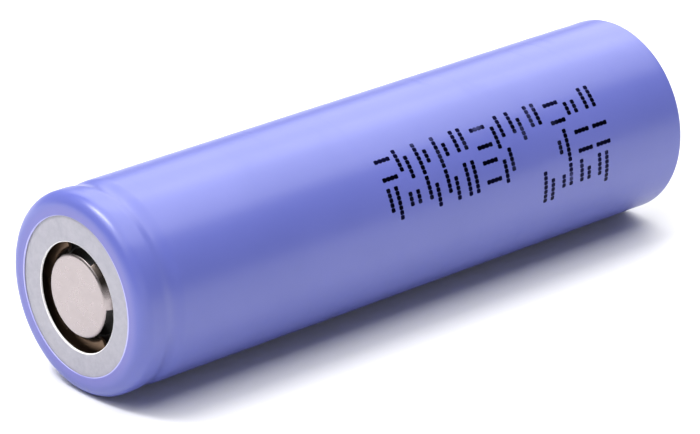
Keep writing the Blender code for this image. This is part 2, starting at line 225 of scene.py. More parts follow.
def turned(name, profile, sides=128, ring=True, warp=None, skip=None):
    """Turn a profile that runs outward over the top and down the outer side.

    warp(r, x, degrees) moves a point, and skip(i, degrees) leaves out a face below point i.
    """
    shape = bmesh.new()
    rows = []
    for r, x in profile:
        if r < 1e-6:
            rows.append([shape.verts.new((x * MM, 0, 0))])
            continue
        row = []
        for side in range(sides):
            degrees = 360 * side / sides
            moved = warp(r, x, degrees) if warp else (r, x)
            row.append(shape.verts.new(place(*moved, degrees)))
        rows.append(row)
    following = rows[1:] + rows[:1] if ring else rows[1:]
    for i, (upper, lower) in enumerate(zip(rows, following)):
        for side in range(sides):
            after = (side + 1) % sides
            if skip and skip(i, 360 * (side + 0.5) / sides):
                continue
            corners = [upper[side % len(upper)], upper[after % len(upper)]]
            corners += [lower[after % len(lower)], lower[side % len(lower)]]
            shape.faces.new(list(dict.fromkeys(corners)))
    return finish_mesh(name, shape)


def pressed(name, profile, wall, sides, skip=None):
    """A sheet of this thickness under a turned face, its cut edges softened."""
    piece = turned(name, profile, sides, ring=False, skip=skip)
    modified(piece, "SOLIDIFY", thickness=wall * MM, offset=-1.0, use_even_offset=True)
    limits = {"limit_method": "ANGLE", "angle_limit": math.radians(50)}
    modified(piece, "BEVEL", width=0.03 * MM, segments=2, **limits)
    return smooth(piece)


def smooth(piece):
    piece.data.shade_smooth()
    piece.data.set_sharp_from_angle(angle=math.radians(SHARP))
    return piece


def wound(name, sections):
    """A body from closed sections with the same number of points, in metres, capped at both ends."""
    shape = bmesh.new()
    rows = [[shape.verts.new(point) for point in section] for section in sections]
    count = len(rows[0])
    for row, following in zip(rows, rows[1:]):
        for i in range(count):
            j = (i + 1) % count
            shape.faces.new((row[i], row[j], following[j], following[i]))
    shape.faces.new(rows[0])
    shape.faces.new(rows[-1])
    return finish_mesh(name, shape)


def modified(piece, kind, **settings):
    """Apply one modifier to a piece's mesh."""
    modifier = piece.modifiers.new(kind.title(), kind)
    for key, value in settings.items():
        setattr(modifier, key, value)
    graph = bpy.context.evaluated_depsgraph_get()
    mesh = bpy.data.meshes.new_from_object(piece.evaluated_get(graph))
    piece.modifiers.clear()
    old = piece.data
    piece.data = mesh
    bpy.data.meshes.remove(old)
    mesh.name = piece.name
    return piece


def cut(piece, cutter):
    """Take a cutter's shape out of a piece, and delete the cutter."""
    modified(piece, "BOOLEAN", operation="DIFFERENCE", solver="EXACT", object=cutter)
    bpy.data.objects.remove(cutter)
    return smooth(piece)


def wobble(seed, degrees, x, turns, stretch):
    """Smooth noise round the cell, from -1 to 1, that joins up after one turn."""
    a = math.radians(degrees)
    away = seed * 17.3  # each seed reads another part of the noise
    return noise.noise(Vector((turns * math.cos(a), turns * math.sin(a), x * stretch + away)))


def install(piece, slot, material, *nodes, body="cell"):
    """Give a piece its material and its body, and hide the CAD nodes that it stands for."""
    piece.data.materials.clear()
    piece.data.materials.append(material)
    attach(piece, body)
    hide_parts(*nodes)
    return piece


# ---------------------------------------------------------------- material helpers


class Surface:
    """A Principled material and short ways to add pattern nodes to it."""

    def __init__(self, name, colour, roughness, metallic=0.0, **sockets):
        self.material = bpy.data.materials.new(name)
        self.material.use_nodes = True
        self.tree = self.material.node_tree
        self.shader = self.tree.nodes["Principled BSDF"]
        self.set("Base Color", (*colour, 1.0))
        self.set("Roughness", roughness)
        self.set("Metallic", metallic)
        for socket, value in sockets.items():
            self.set(socket.replace("_", " "), value)
        self.object_coords = self.tree.nodes.new("ShaderNodeTexCoord").outputs["Object"]

    def set(self, socket, value):
        self.shader.inputs[socket].default_value = value

    def link(self, value, socket):
        self.tree.links.new(value, self.shader.inputs[socket])

    def node(self, kind, inputs=None, **settings):
        made = self.tree.nodes.new("ShaderNode" + kind)
        for key, value in settings.items():
            setattr(made, key, value)
        for key, value in (inputs or {}).items():
            if isinstance(value, bpy.types.NodeSocket):
                self.tree.links.new(value, made.inputs[key])
            else:
                made.inputs[key].default_value = value
        return made

    def math(self, operation, a, b=0.0, c=0.0):
        return self.node("Math", {0: a, 1: b, 2: c}, operation=operation).outputs[0]

    def noise(self, scale, detail, rough=0.5):
        """Noise from about 0.3 to 0.7, its features about 1/scale metres, with one scale or one per axis."""
        scales = scale if isinstance(scale, tuple) else (scale,) * 3
        vector = self.node("Mapping", {"Vector": self.object_coords, "Scale": scales}).outputs[0]
        inputs = {"Vector": vector, "Scale": 1.0, "Detail": detail, "Roughness": rough}
        return self.node("TexNoise", inputs).outputs["Fac"]

    def spread(self, factor, low, high, to_low=0.0, to_high=1.0):
        """Stretch a factor's range from low..high to to_low..to_high, without going past it."""
        inputs = {0: factor, 1: low, 2: high, 3: to_low, 4: to_high}
        return self.node("MapRange", inputs).outputs[0]

    def mix(self, factor, a, b):
        """Mix two colours, each a socket or three numbers."""
        made = self.node("Mix", data_type="RGBA")
        for socket, value in ((made.inputs[0], factor), (made.inputs[6], a), (made.inputs[7], b)):
            if isinstance(value, bpy.types.NodeSocket):
                self.tree.links.new(value, socket)
            elif isinstance(value, tuple):
                socket.default_value = (*value, 1.0)
            else:
                socket.default_value = value
        return made.outputs[2]

    def bump(self, height, distance, strength):
        """A bump whose height from 0 to 1 stands for this distance in millimetres."""
        inputs = {"Height": height, "Distance": distance * MM, "Strength": strength}
        return self.node("Bump", inputs).outputs[0]

    def round_coords(self):
        """(x, arc length round the cell, radius) in metres, from the place of the point."""
        xyz = self.node("SeparateXYZ", {0: self.object_coords}).outputs
        angle = self.math("ARCTAN2", xyz[1], xyz[2])
        square = self.math("MULTIPLY_ADD", xyz[1], xyz[1], self.math("MULTIPLY", xyz[2], xyz[2]))
        radius = self.math("SQRT", square)
        arc_length = self.math("MULTIPLY", angle, RADIUS * MM)
        return xyz[0], arc_length, radius


def print_pattern(surface, x, arc_length):
    """1 where ink dots lie, in rows of cells that each have bars or a pair of dashes."""
    inked = None
    for row, (degrees, skipped, cells) in enumerate(PRINT_ROWS):
        start = PRINT_FRONT * MM - skipped * CELL_DOTS * DOT_PITCH[0] * MM
        top = math.radians(degrees) * RADIUS * MM - CELL_LINES / 2 * DOT_PITCH[1] * MM
        across = surface.math("DIVIDE", surface.math("SUBTRACT", start, x), DOT_PITCH[0] * MM)
        down = surface.math("DIVIDE", surface.math("SUBTRACT", arc_length, top), DOT_PITCH[1] * MM)
        column = surface.math("FLOOR", across)
        line = surface.math("FLOOR", down)
        cell = surface.math("FLOOR", surface.math("DIVIDE", column, CELL_DOTS))
        in_cell = surface.math("MODULO", column, CELL_DOTS)
        has_bars = surface.math("GREATER_THAN", chance(surface, cell, row + KIND_SEED), DASHED_SHARE)
        kinds = {0: has_bars, 2: dashes(surface, line), 3: bars(surface, column, line, in_cell, row)}
        marks = surface.node("Mix", kinds).outputs[0]
        mark = round_dots(surface, across, down)
        for factor in (
            marks,
            band(surface, in_cell, -0.5, CELL_DOTS - 1.5),
            band(surface, across, 0, cells * CELL_DOTS),
            band(surface, down, 0, CELL_LINES),
        ):
            mark = surface.math("MULTIPLY", mark, factor)
        inked = mark if inked is None else surface.math("MAXIMUM", inked, mark)
    return inked


def bars(surface, column, line, in_cell, row):
    """1 in every other column of a cell, where chance takes two dots off either end of a bar."""
    no_top = surface.math("GREATER_THAN", chance(surface, column, row + TOP_SEED), 0.5)
    no_bottom = surface.math("GREATER_THAN", chance(surface, column, row + BOTTOM_SEED), 0.5)
    above = surface.math("MULTIPLY_ADD", no_top, 2.0, -0.5)
    below = surface.math("MULTIPLY_ADD", no_bottom, -2.0, CELL_LINES - 0.5)
    every_other = surface.math("COMPARE", surface.math("MODULO", in_cell, 2.0), 0.0, 0.5)
    return surface.math("MULTIPLY", band(surface, line, above, below), every_other)


def dashes(surface, line):
    """1 on the second line of a cell and on the last but two."""
    return surface.math("MAXIMUM", band(surface, line, 0.5, 1.5), band(surface, line, 4.5, 5.5))


def round_dots(surface, across, down):
    """1 within a dot in the middle of each unit square of these coordinates."""
    offsets = []
    for value, size, pitch in ((across, DOT[0], DOT_PITCH[0]), (down, DOT[1], DOT_PITCH[1])):
        off = surface.math("SUBTRACT", surface.math("FRACT", value), 0.5)
        offsets.append(surface.math("MULTIPLY", off, pitch / size))
    square = surface.math("MULTIPLY", offsets[1], offsets[1])
    square = surface.math("MULTIPLY_ADD", offsets[0], offsets[0], square)
    return surface.spread(surface.math("SQRT", square), 0.56, 0.44)


def chance(surface, number, seed):
    """A number from 0 to 1 picked by chance for each whole number."""
    inputs = {"Vector": surface.node("CombineXYZ", {0: number, 1: seed}).outputs[0]}
    return surface.node("TexWhiteNoise", inputs, noise_dimensions="2D").outputs["Value"]


def band(surface, value, low, high):
    """1 between two numbers."""
    above = surface.math("GREATER_THAN", value, low)
    return surface.math("MULTIPLY", above, surface.math("LESS_THAN", value, high))


def sleeve_film():
    s = Surface("sleeve_film", (0.11, 0.13, 0.44), 0.30, IOR=1.57)
    x, arc_length, radius = s.round_coords()
    cloud = s.spread(s.noise(90, 4), 0.3, 0.7)
    fine = s.noise(2600, 2)
    base = s.mix(cloud, (0.101, 0.121, 0.430), (0.114, 0.133, 0.456))
    ink = print_pattern(s, x, arc_length)
    fading = s.spread(s.noise(300, 2), 0.34, 0.44, 0.72, 1.0)
    strength = s.math("MULTIPLY", ink, fading)
    # the pale washer shows through the film a little; the film's cut edge gets a painted highlight on top of
    # that, a pale line where the edge catches light
    at_front = s.spread(x, (FRONT - 0.4) * MM, (FRONT - 0.1) * MM)
    over_washer = s.math("MULTIPLY", at_front, s.spread(radius, 8.3 * MM, 7.6 * MM))
    base = s.mix(over_washer, base, (0.138, 0.140, 0.455))
    # painted highlight: a pale line along the film's cut edge over the washer
    painted_edge_highlight = s.spread(radius, (FRONT_LIP + 0.14) * MM, (FRONT_LIP + 0.06) * MM)
    base = s.mix(s.math("MULTIPLY", painted_edge_highlight, over_washer), base, (0.42, 0.42, 0.80))
    s.link(s.mix(strength, base, (0.001, 0.001, 0.016)), "Base Color")
    s.link(strength, "Metallic")  # takes the film's gloss off the ink
    # long faint streaks from drawing the film, and scuffs that only change the gloss
    streaks = s.noise((60, 2200, 2200), 2)
    scuffs = s.spread(s.noise((700, 160, 160), 5, rough=0.7), 0.56, 0.72)
    gloss = s.math("MULTIPLY_ADD", streaks, 0.08, 0.27)
    gloss = s.math("MULTIPLY_ADD", scuffs, 0.10, gloss)
    s.link(s.math("MULTIPLY_ADD", strength, -0.10, gloss), "Roughness")
    height = s.math("MULTIPLY_ADD", streaks, 0.6, s.math("MULTIPLY", fine, 0.4))
    s.link(s.bump(height, 0.003, 0.5), "Normal")
    return s.material


def washer_fibre(centre):
    """Grey fibre paper, with a painted highlight: a near-white line along the edge of its bore."""
    s = Surface("washer_fibre", (0.38, 0.37, 0.43), 0.8)
    fibres = s.noise(1500, 6, rough=0.65)
    mottle = s.spread(s.noise(420, 4), 0.32, 0.68)
    low = s.mix(s.spread(fibres, 0.35, 0.65), (0.344, 0.338, 0.395), (0.413, 0.404, 0.458))
    base = s.mix(s.math("MULTIPLY", mottle, 0.3), low, (0.437, 0.428, 0.475))
    y, z = s.node("SeparateXYZ", {0: s.object_coords}).outputs[1:3]
    off_y = s.math("SUBTRACT", y, centre.y)
    off_z = s.math("SUBTRACT", z, centre.z)
    radius = s.math("SQRT", s.math("MULTIPLY_ADD", off_y, off_y, s.math("MULTIPLY", off_z, off_z)))
    # painted highlight: the bore's edge made near white, as where it catches light
    painted_bore_highlight = s.spread(radius, (WASHER_HOLE + 0.10) * MM, (WASHER_HOLE + 0.04) * MM)
    s.link(s.mix(painted_bore_highlight, base, (0.95, 0.93, 0.93)), "Base Color")
    s.link(s.spread(fibres, 0.3, 0.7, 0.68, 0.88), "Roughness")
    s.link(s.bump(fibres, 0.03, 0.6), "Normal")
    return s.material


def metal(name, colour, roughness, grain, spots, bump=0.004):
    """Plated or rolled metal, with a grain of its own stretch, stains and fine pits."""
    s = Surface(name, colour, roughness, 1.0)
    lines = s.noise(grain, 4, rough=0.6)
    stain = s.spread(s.noise(240, 5, rough=0.6), 0.45, 0.75)
    darker = tuple(c * (1 - spots) for c in colour)
    s.link(s.mix(stain, colour, darker), "Base Color")
    s.link(s.spread(lines, 0.3, 0.7, roughness - 0.08, roughness + 0.08), "Roughness")
    s.link(s.bump(lines, bump, 0.6), "Normal")
    return s.material


def cap_steel(top):
    """Nickel-plated steel, clean on its face, with painted shade in brown down in the gap round the button
    and under it, and a painted dark reflection on the button's wall.
    """
    s = Surface("cap_steel", (0.41, 0.361, 0.368), 0.30, 1.0)
    x, arc_length, radius = s.round_coords()
    grain = s.noise(900, 4, rough=0.6)
    cloud = s.spread(s.noise(240, 5, rough=0.6), 0.45, 0.75)
    face = s.mix(cloud, (0.41, 0.361, 0.368), (0.390, 0.343, 0.350))
    # painted shade: dark brown down in the gap round the button, and under the button
    painted_gap_shade = s.spread(x, (top - 0.56) * MM, (top - 0.80) * MM)
    inward = s.math("LESS_THAN", radius, 3.3 * MM)
    under = s.math("MULTIPLY", inward, s.math("LESS_THAN", x, (top - 0.2) * MM))
    shade = s.math("MAXIMUM", painted_gap_shade, under)
    # painted dark reflection: the button's wall is darker still, but for a patch at its +Y side left bright
    # as painted light
    middle, fade_start, fade_end = (math.radians(degrees) * RADIUS * MM for degrees in PAINTED_LIGHT_PATCH)
    from_patch = s.math("ABSOLUTE", s.math("SUBTRACT", arc_length, middle))
    off_patch = s.spread(from_patch, fade_start, fade_end)
    wall = s.math("MULTIPLY", s.spread(x, (top - 0.03) * MM, (top - 0.18) * MM), off_patch)
    wall = s.math("MULTIPLY", wall, s.math("SUBTRACT", 1.0, painted_gap_shade))
    base = s.mix(shade, face, (0.16, 0.105, 0.070))
    s.link(s.mix(wall, base, (0.042, 0.034, 0.030)), "Base Color")
    scratch = s.spread(s.noise((1200, 260, 3600), 3, rough=0.7), 0.60, 0.70)
    gloss = s.spread(grain, 0.3, 0.7, 0.22, 0.38)
    s.link(s.math("MULTIPLY_ADD", scratch, 0.10, s.math("MULTIPLY_ADD", shade, 0.10, gloss)), "Roughness")
    s.link(s.bump(grain, 0.004, 0.6), "Normal")
    return s.material


def gasket_polymer():
    s = Surface("gasket_polymer", (0.030, 0.020, 0.013), 0.42)
    grain = s.noise(700, 4, rough=0.6)
    dust = s.spread(s.noise(2600, 3, rough=0.7), 0.58, 0.70)
    base = s.mix(s.spread(grain, 0.35, 0.65), (0.020, 0.014, 0.010), (0.045, 0.028, 0.018))
    s.link(s.mix(s.math("MULTIPLY", dust, 0.25), base, (0.12, 0.09, 0.07)), "Base Color")
    s.link(s.spread(grain, 0.3, 0.7, 0.32, 0.52), "Roughness")
    s.link(s.bump(grain, 0.01, 0.5), "Normal")
    return s.material


def ptc_faces(low, high):
    """Dark filled polymer between these heights, and nickel-faced foil beyond them."""
    s = Surface("ptc_polymer", (0.06, 0.055, 0.05), 0.5)
    x, _, _ = s.round_coords()
    grain = s.noise(1100, 4, rough=0.6)
    core = band(s, x, low * MM, high * MM)
    foil = s.mix(s.spread(grain, 0.35, 0.65), (0.20, 0.185, 0.165), (0.26, 0.245, 0.22))
    s.link(s.mix(core, foil, (0.015, 0.014, 0.014)), "Base Color")
    s.link(s.math("MULTIPLY", s.math("SUBTRACT", 1.0, core), 0.9), "Metallic")
    s.link(s.math("MULTIPLY_ADD", core, 0.2, s.spread(grain, 0.3, 0.7, 0.36, 0.50)), "Roughness")
    s.link(s.bump(grain, 0.008, 0.5), "Normal")
    return s.material


def aluminium(name, colour, roughness):
    """Rolled sheet: long scratches one way, a few dull stains."""
    s = Surface(name, colour, roughness, 1.0)
    rolled = s.noise((1800, 120, 2400), 4, rough=0.65)
    stain = s.spread(s.noise(320, 5, rough=0.65), 0.48, 0.72)
    fleck = s.spread(s.noise(3000, 2), 0.62, 0.70)
    s.link(s.mix(stain, colour, tuple(c * 0.82 for c in colour)), "Base Color")
    gloss = s.spread(rolled, 0.3, 0.7, roughness - 0.08, roughness + 0.10)
    s.link(s.math("MULTIPLY_ADD", s.math("MAXIMUM", stain, fleck), 0.12, gloss), "Roughness")
    s.link(s.bump(rolled, 0.004, 0.6), "Normal")
    return s.material


def weld_marks():
    """Rolled aluminium with two dull pits where the tab is welded to it."""
    s = Surface("welded_aluminium", (0.80, 0.81, 0.82), 0.30, 1.0)
    y, z = s.node("SeparateXYZ", {0: s.object_coords}).outputs[1:3]
    rolled = s.noise((1800, 120, 2400), 4, rough=0.65)
    pits = None
    for side in (-1, 1):
        off_y = s.math("SUBTRACT", y, side * 0.8 * MM)
        square = s.math("MULTIPLY_ADD", off_y, off_y, s.math("MULTIPLY", z, z))
        spot = s.spread(s.math("SQRT", square), 0.50 * MM, 0.40 * MM)
        pits = spot if pits is None else s.math("MAXIMUM", pits, spot)
    s.link(s.mix(pits, (0.80, 0.81, 0.82), (0.42, 0.41, 0.42)), "Base Color")
    s.link(s.math("MULTIPLY_ADD", pits, 0.25, s.spread(rolled, 0.3, 0.7, 0.22, 0.38)), "Roughness")
    height = s.math("SUBTRACT", s.math("MULTIPLY", rolled, 0.1), pits)
    s.link(s.bump(height, 0.03, 0.6), "Normal")
    return s.material


def pale_polymer():
    s = Surface("insulator_polymer", (0.78, 0.78, 0.75), 0.45)
    flow = s.noise((300, 90, 90), 4)
    grain = s.noise(1600, 3)
    s.link(s.mix(s.spread(flow, 0.35, 0.65), (0.72, 0.72, 0.68), (0.80, 0.80, 0.78)), "Base Color")
    s.link(s.spread(grain, 0.3, 0.7, 0.36, 0.54), "Roughness")
    s.link(s.bump(grain, 0.006, 0.5), "Normal")
    return s.material


def disc_fibre():
    """Pressed glass fibre, pale green, its threads just visible."""
    s = Surface("disc_fibre", (0.60, 0.70, 0.64), 0.7)
    across = s.noise((200, 260, 3200), 4, rough=0.65)
    along = s.noise((200, 3200, 260), 4, rough=0.65)
    threads = s.math("MAXIMUM", across, along)
    blot = s.spread(s.noise(240, 4), 0.4, 0.7)
    base = s.mix(s.spread(threads, 0.42, 0.66), (0.50, 0.60, 0.54), (0.70, 0.79, 0.73))
    s.link(s.mix(s.math("MULTIPLY", blot, 0.4), base, (0.56, 0.62, 0.52)), "Base Color")
    s.link(s.spread(threads, 0.4, 0.7, 0.82, 0.58), "Roughness")
    s.link(s.bump(threads, 0.02, 0.6), "Normal")
    return s.material


def separator_film():
    s = Surface("separator_film", (0.86, 0.87, 0.87), 0.5)
    drawn = s.noise((30, 900, 900), 4)
    damp = s.spread(s.noise((70, 160, 160), 4), 0.42, 0.66)
    base = s.mix(s.spread(drawn, 0.35, 0.65), (0.80, 0.81, 0.81), (0.88, 0.89, 0.89))
    s.link(s.mix(s.math("MULTIPLY", damp, 0.35), base, (0.70, 0.72, 0.72)), "Base Color")
    s.link(s.math("MULTIPLY_ADD", damp, -0.15, s.spread(drawn, 0.3, 0.7, 0.44, 0.62)), "Roughness")
    s.link(s.bump(drawn, 0.01, 0.5), "Normal")
    return s.material


def coated(name, colour, roughness, foil, node):
    """A coated foil: the coating stops short of both edges, where bare metal shows."""
    low, high, _ = span(node)
    s = Surface(name, colour, roughness)
    x, _, _ = s.round_coords()
    grain = s.noise(2000, 4, rough=0.7)
    bands = s.noise((420, 40, 40), 3)
    edge = s.math("MULTIPLY_ADD", bands, 0.6 * MM, 0.25 * MM)
    bare_front = s.math("GREATER_THAN", x, s.math("SUBTRACT", high * MM, edge))
    bare_back = s.math("LESS_THAN", x, s.math("ADD", edge, low * MM))
    bare = s.math("MAXIMUM", bare_front, bare_back)
    lighter = tuple(c * 1.7 for c in colour)
    base = s.mix(s.spread(grain, 0.35, 0.65), colour, lighter)
    s.link(s.mix(bare, base, foil), "Base Color")
    s.link(s.math("MULTIPLY", bare, 0.95), "Metallic")
    rough = s.spread(grain, 0.3, 0.7, roughness - 0.10, roughness + 0.10)
    s.link(s.math("MULTIPLY_ADD", bare, -0.22, rough), "Roughness")
    s.link(s.bump(grain, 0.01, 0.5), "Normal")
    return s.material


def tape_film(name, colour, roughness):
    """Adhesive film: glossy, with trapped bubbles and faint creases."""
    s = Surface(name, colour, roughness)
    creases = s.noise((60, 700, 700), 4, rough=0.6)
    bubbles = s.spread(s.noise(1500, 3), 0.58, 0.68)
    lighter = tuple(min(1, c * 1.5 + 0.02) for c in colour)
    s.link(s.mix(s.math("MULTIPLY", bubbles, 0.7), colour, lighter), "Base Color")
    s.link(s.spread(creases, 0.3, 0.7, roughness - 0.08, roughness + 0.12), "Roughness")
    s.link(s.bump(s.math("MULTIPLY_ADD", bubbles, 0.5, creases), 0.012, 0.5), "Normal")
    return s.material


# ---------------------------------------------------------------- sleeve and terminals


def dip(x):
    """How far the film sinks over the can's bead."""
    if not DIP_BOTTOM < x < DIP_TOP:
        return 0
    share = (DIP_TOP - x) / (DIP_TOP - DIP_BOTTOM)
    return DIP_DEPTH * (1 - math.cos(TURN * share)) / 2


def film_side(inset, body_steps, dip_steps):
    """The sleeve's straight side from the shoulder down to the heel, this far inside its outer face."""
    places = steps_between(FRONT - SHOULDER, DIP_TOP, 2)
    places += steps_between(DIP_TOP, DIP_BOTTOM, dip_steps)
    places += steps_between(DIP_BOTTOM, BACK + HEEL, body_steps)[:-1]
    return [(RADIUS - inset - dip(x), x) for x in places]


def sleeve_profile():
    shoulder = (RADIUS - SHOULDER, FRONT - SHOULDER)
    heel = (RADIUS - HEEL, BACK + HEEL)
    half = FILM / 2
    outer = arc((FRONT_LIP + half, FRONT - half), half, 270, 90, 5)
    outer += [(r, FRONT) for r in steps_between(FRONT_LIP + FILM, shoulder[0], 4)[:-1]]
    outer += arc(shoulder, SHOULDER, 90, 0, 14) + film_side(0, 60, 24) + arc(heel, HEEL, 0, -90, 10)
    outer += [(r, BACK) for r in steps_between(heel[0], BACK_LIP + FILM, 4)[:-1]]
    outer += arc((BACK_LIP + half, BACK + half), half, 270, 90, 5)[::-1]
    inner = arc(shoulder, SHOULDER - FILM, 90, 0, 8) + film_side(FILM, 14, 12)
    inner += arc(heel, HEEL - FILM, 0, -90, 6)
    return outer + inner[::-1]


def film_warp(r, x, degrees):
    """Shrunk film is never quite even: wavy lips, slow waves along it, a ridge by the bead, a soft neck."""
    end = min(FRONT - x, x - BACK)
    at_lip = max(0, 1 - end / 0.2) * max(0, 1 - (r - FRONT_LIP) / 1.2)
    oval = 0.08 * math.cos(2 * math.radians(degrees))
    r += at_lip * (oval + 0.05 * wobble(1, degrees, 0, 1.1, 0) + 0.02 * wobble(2, degrees, 0, 6, 0))
    if r < RADIUS - 0.5:
        return r, x
    settle = math.exp(-((end - 1.6) / 1.6) ** 2)
    r += 0.012 * settle * wobble(3, degrees, x, 5, 0.5)
    if x < BACK + 4:
        r -= 0.02 * math.exp(-((x - BACK - 2.2) / 0.75) ** 4)
    ridge = math.exp(-((FRONT - x - 6.2) / 0.5) ** 2)
    return r + 0.010 * ridge + 0.006 * wobble(4, degrees, x, 2.2, 0.12), x


def make_sleeve():
    sleeve = turned("sleeve", sleeve_profile(), sides=224, warp=film_warp)
    install(sleeve, "sleeve_film", sleeve_film(), "shrink_sleeve")


def make_washer():
    low, high, outer = span("insulating_washer")
    edge = 0.035
    corners = [(WASHER_HOLE, high, 0.10), (outer, high, edge), (outer, low, edge), (WASHER_HOLE, low, edge)]
    washer = turned("fibre_washer", rounded(corners), sides=192, warp=torn_edge)
    low_corner, high_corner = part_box("insulating_washer")
    centre = (low_corner + high_corner) / 2
    washer.data.transform(Matrix.Translation((0, centre.y, centre.z)))
    install(washer, "washer_fibre", washer_fibre(centre), "insulating_washer")


def torn_edge(r, x, degrees):
    return r + 0.012 * wobble(5, degrees, x, 9, 3), x


def cap_profile(top, flange, rim):
    """Flat button, leaning wall and flange, and the rows of faces that the windows take: wall and foot."""
    lean = math.radians(WALL_LEAN)
    points = [(0, top)] + [(r, top) for r in steps_between(0, BUTTON_FLAT, 8)[:-1]]
    points += arc((BUTTON_FLAT, top - BUTTON_BEND), BUTTON_BEND, 90, WALL_LEAN, 8)
    first = len(points) - 1
    wall_r, wall_x = points[-1]
    foot_x = flange + FOOT_BEND * (1 - math.sin(lean))
    foot_r = wall_r + (wall_x - foot_x) * math.tan(lean)
    points += [(wall_r + (foot_r - wall_r) / 2, (wall_x + foot_x) / 2)]
    centre = (foot_r + FOOT_BEND * math.cos(lean), flange + FOOT_BEND)
    points += arc(centre, FOOT_BEND, 180 + WALL_LEAN, 270, 6) + [(WINDOW_OUTER, flange)]
    rows = range(first, len(points) - 1)
    return points + [(r, flange) for r in steps_between(WINDOW_OUTER, rim, 6)], rows


def in_window(degrees):
    return any(abs((degrees - middle + 180) % 360 - 180) < WINDOW_HALF for middle in WINDOW_MIDDLES)


def make_cap():
    low, high, rim = inner_span("positive_cap")
    profile, rows = cap_profile(high, low + CAP_SHEET, rim)
    cap = pressed("cap", profile, CAP_SHEET, 180, skip=lambda i, degrees: i in rows and in_window(degrees))
    install(cap, "cap_steel", cap_steel(high), "positive_cap")


def make_can():
    low, high, side = span("steel_can")
    radius = side / math.cos(math.pi / CAD_SIDES)
    shoulder = (radius - CAN_SHOULDER, high - CAN_SHOULDER)
    rim = low + PAD_HEIGHT
    heel = (radius - CAN_HEEL, rim + CAN_HEEL)
    bead_top = high - BEAD_TOP
    bead_bottom = high - BEAD_BOTTOM
    profile = [(r, high) for r in (6.4, 6.8, 7.3)] + arc(shoulder, CAN_SHOULDER, 90, 0, 12)
    for share in steps_between(0, 1, 28):
        depth = BEAD_DEPTH * (1 - math.cos(TURN * share)) / 2
        profile.append((radius - depth, bead_top + (bead_bottom - bead_top) * share))
    profile += [(radius, x) for x in steps_between(bead_bottom, heel[1], 20)[:-1]]
    profile += arc(heel, CAN_HEEL, 0, -90, 8) + [(7.6, rim)]
    pad_edge = [(6.86, rim), (6.80, rim - 0.015), (6.76, low + 0.012), (6.68, low)]
    profile += pad_edge + [(r, low) for r in (5.5, 4.2, 3.0, 1.8, 0.8, 0)]
    can = pressed("can", profile, CAN_WALL, 160)
    material = metal("can_steel", (0.50, 0.485, 0.475), 0.27, (120, 900, 900), spots=0.16, bump=0.002)
    install(can, "can_steel", material, "steel_can")


# ---------------------------------------------------------------- closure


def make_gasket():
    low, high, outer = inner_span("sealing_gasket")
    bore = 8.20
    seat = 7.0
    lip = 6.3
    seat_top = low + 0.64
    lip_bottom = high - 0.40
    corners = [(lip, high, 0.10), (outer, high, 0.86), (outer, low + 0.36, 0.08), (bore, low, 0.08)]
    corners += [(seat, low, 0.12), (seat, seat_top, 0.12), (bore, seat_top, 0.01)]
    corners += [(bore, lip_bottom, 0.01), (lip, lip_bottom, 0.12)]
    gasket = turned("gasket", rounded(corners), sides=144)
    install(gasket, "gasket_polymer", gasket_polymer(), "sealing_gasket")


def make_ptc():
    """A polymer layer pressed between two metal faces, its edges set back a little."""
    low, high, outer = inner_span("ptc_ring")
    bore = 5.2
    face = 0.06
    set_back = 0.04
    corners = [(bore, high, 0.02), (outer, high, 0.02), (outer, high - face, 0.01)]
    corners += [(outer - set_back, high - face, 0.0), (outer - set_back, low + face, 0.0)]
    corners += [(outer, low + face, 0.01), (outer, low, 0.02), (bore, low, 0.02), (bore, low + face, 0.01)]
    corners += [(bore + set_back, low + face, 0.0), (bore + set_back, high - face, 0.0)]
    corners += [(bore, high - face, 0.01)]
    ring = turned("ptc_ring_layers", rounded(corners), sides=144)
    install(ring, "ptc_polymer", ptc_faces(low + face, high - face), "ptc_ring")


def make_vent():
    """A dished diaphragm with a score round it."""
    low, high, outer = inner_span("vent_disc")
    sheet = 0.30
    pad_top = low + sheet
    slope_top = (4.8, high)
    slope_bottom = (3.0, high - 0.43)
    neck = (1.7, pad_top + 0.40)

    def on_slope(radius):
        share = (radius - slope_bottom[0]) / (slope_top[0] - slope_bottom[0])
        return slope_bottom[1] + share * (slope_top[1] - slope_bottom[1])

    score = [(3.78, on_slope(3.78), 0.03), (3.90, on_slope(3.90) - 0.12, 0.05)]
    score += [(4.02, on_slope(4.02), 0.03)]
    face = [(0, pad_top, 0), (1.3, pad_top, 0.15), (*neck, 0.20), (*slope_bottom, 0.5), *score]
    face += [(*slope_top, 0.5), (outer, high, 0.04)]
    back = [(outer, high - sheet, 0.04), (slope_top[0], slope_top[1] - sheet, 0.5)]
    underside = ((*slope_bottom, 0.5), (*neck, 0.25), (1.3, pad_top, 0.2))
    back += [(r, x - sheet, bend) for r, x, bend in underside]
    outline = rounded(face + back + [(0, low, 0)], ring=False)
    vent = turned("vent_diaphragm", outline, sides=144, ring=False)
    vent.data.materials.append(aluminium("vent_aluminium", (0.34, 0.34, 0.35), 0.42))
    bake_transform(vent)
    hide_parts("vent_disc")


def flat_ring(name, node, bore, edge=0.04, holes=(), slot_degrees=None):
    """A washer-shaped plate with soft edges, round holes and perhaps a slot for a tab."""
    low, high, outer = inner_span(node)
    if bore:
        corners = [(bore, high, edge), (outer, high, edge), (outer, low, edge), (bore, low, edge)]
        plate = turned(name, rounded(corners), sides=120)
    else:
        corners = [(0, high, 0), (outer, high, edge), (outer, low, edge), (0, low, 0)]
        plate = turned(name, rounded(corners, ring=False), sides=120, ring=False)
    for radius, circle, degrees in holes:
        cut(plate, rod_cutter(radius, place(circle, (low + high) / 2, degrees)))
    if slot_degrees is not None:
        cut(plate, slot_cutter(slot_degrees, (low + high) / 2))
    return plate


